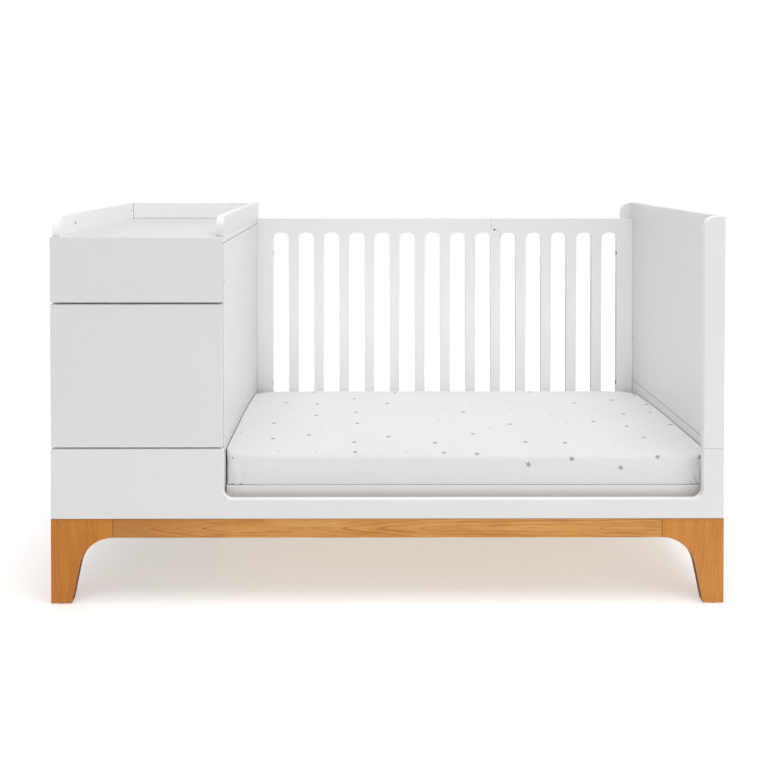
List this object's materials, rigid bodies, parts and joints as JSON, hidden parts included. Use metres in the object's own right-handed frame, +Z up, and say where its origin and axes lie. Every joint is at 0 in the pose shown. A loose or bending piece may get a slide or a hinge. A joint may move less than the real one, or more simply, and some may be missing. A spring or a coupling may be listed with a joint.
{
  "type": "crib with attached changer",
  "caption": "White crib in day-bed form with a slotted back rail, a mattress, and a changer cabinet with drawer and door at one end, on an oak bracket-leg base.",
  "frame": {"origin": "centre of the footprint, on the floor", "axes": "+X from the changer to the crib end, front faces -Y, +Z up"},
  "size_m": [1.662, 0.676, 0.958],
  "materials": {
    "white_lacquer": "satin white lacquer on fibreboard",
    "white_melamine": "matt white melamine",
    "oak": "satin oiled oak",
    "pine": "planed pine",
    "birch": "moulded birch plywood",
    "steel": "zinc plated",
    "black_steel": "black oxide",
    "grey_nylon": "matt",
    "mattress_cover": "cotton fitted sheet with a small scattered print"
  },
  "bodies": {
    "root": {"leg_front_left": "oak", "leg_front_right": "oak", "leg_rear_left": "oak", "leg_rear_right": "oak", "apron_front": "oak", "apron_rear": "oak", "apron_left": "oak", "apron_right": "oak", "base_crossbars": "pine", "corner_blocks": "pine", "leg_glides": "grey_nylon", "base_screws": "steel", "lower_front_panel": "white_lacquer", "lower_rear_panel": "white_lacquer", "lower_left_panel": "white_lacquer", "lower_right_panel": "white_lacquer", "lower_divider": "white_lacquer", "lower_battens": "pine", "end_panel": "white_lacquer", "end_post_front": "white_lacquer", "end_post_rear": "white_lacquer", "back_rail_left": "white_lacquer", "back_rail_right": "white_lacquer", "rail_joint_pins": "black_steel", "rail_bolts": "black_steel", "threaded_inserts": "steel", "cabinet_side_left": "white_lacquer", "cabinet_side_right": "white_lacquer", "cabinet_back": "white_melamine", "cabinet_bottom": "white_melamine", "cabinet_divider": "white_melamine", "cabinet_top": "white_lacquer", "rim_left": "white_lacquer", "rim_right": "white_lacquer", "rim_back": "white_lacquer", "rim_screws": "black_steel", "shelf": "white_melamine", "shelf_pins": "steel", "runners_outer": "steel", "hinge_arms": "steel", "latch_housings": "grey_nylon"},
    "drawer": {"drawer_front": "white_lacquer", "drawer_side_left": "white_melamine", "drawer_side_right": "white_melamine", "drawer_inner_front": "white_melamine", "drawer_back": "white_melamine", "drawer_bottom": "white_melamine", "runners_inner": "steel"},
    "runner_middles": {"runners_middle": "steel"},
    "door": {"door": "white_lacquer", "hinge_cups": "steel"},
    "door_latch": {"door_latch_plunger": "grey_nylon"},
    "drawer_latch": {"drawer_latch_plunger": "grey_nylon"},
    "mattress_base": {"base_rail_front": "white_melamine", "base_rail_rear": "white_melamine", "base_end_left": "white_melamine", "base_end_right": "white_melamine", "base_ledgers": "birch", "base_slats": "birch"},
    "mattress": {"mattress": "mattress_cover"}
  },
  "joints": [
    {"name": "drawer_slide", "type": "slide", "parent": "root", "child": "drawer", "axis": [0, -1, 0], "range_m": [0, 0.4]},
    {"name": "runner_slide", "type": "slide", "parent": "root", "child": "runner_middles", "axis": [0, -1, 0], "range_m": [0, 0.2]},
    {"name": "door_hinge", "type": "hinge", "parent": "root", "child": "door", "pos_m": [-0.831, -0.338, 0.5645], "axis": [0, 0, -1], "range_deg": [0, 110]},
    {"name": "door_latch_push", "type": "slide", "parent": "root", "child": "door_latch", "axis": [0, 1, 0], "range_m": [0, 0.003], "stiffness_N_per_m": 300, "springref_m": -0.002},
    {"name": "drawer_latch_push", "type": "slide", "parent": "root", "child": "drawer_latch", "axis": [0, 1, 0], "range_m": [0, 0.003], "stiffness_N_per_m": 300, "springref_m": -0.002},
    {"name": "base_lift", "type": "slide", "parent": "root", "child": "mattress_base", "axis": [0, 0, 1], "range_m": [0, 0.299]},
    {"name": "mattress_lift", "type": "slide", "parent": "mattress_base", "child": "mattress", "axis": [0, 0, 1], "range_m": [0, 0.65]}
  ],
  "couplings": [
    {"joint": "runner_slide", "follows": "drawer_slide", "ratio": 0.5}
  ]
}
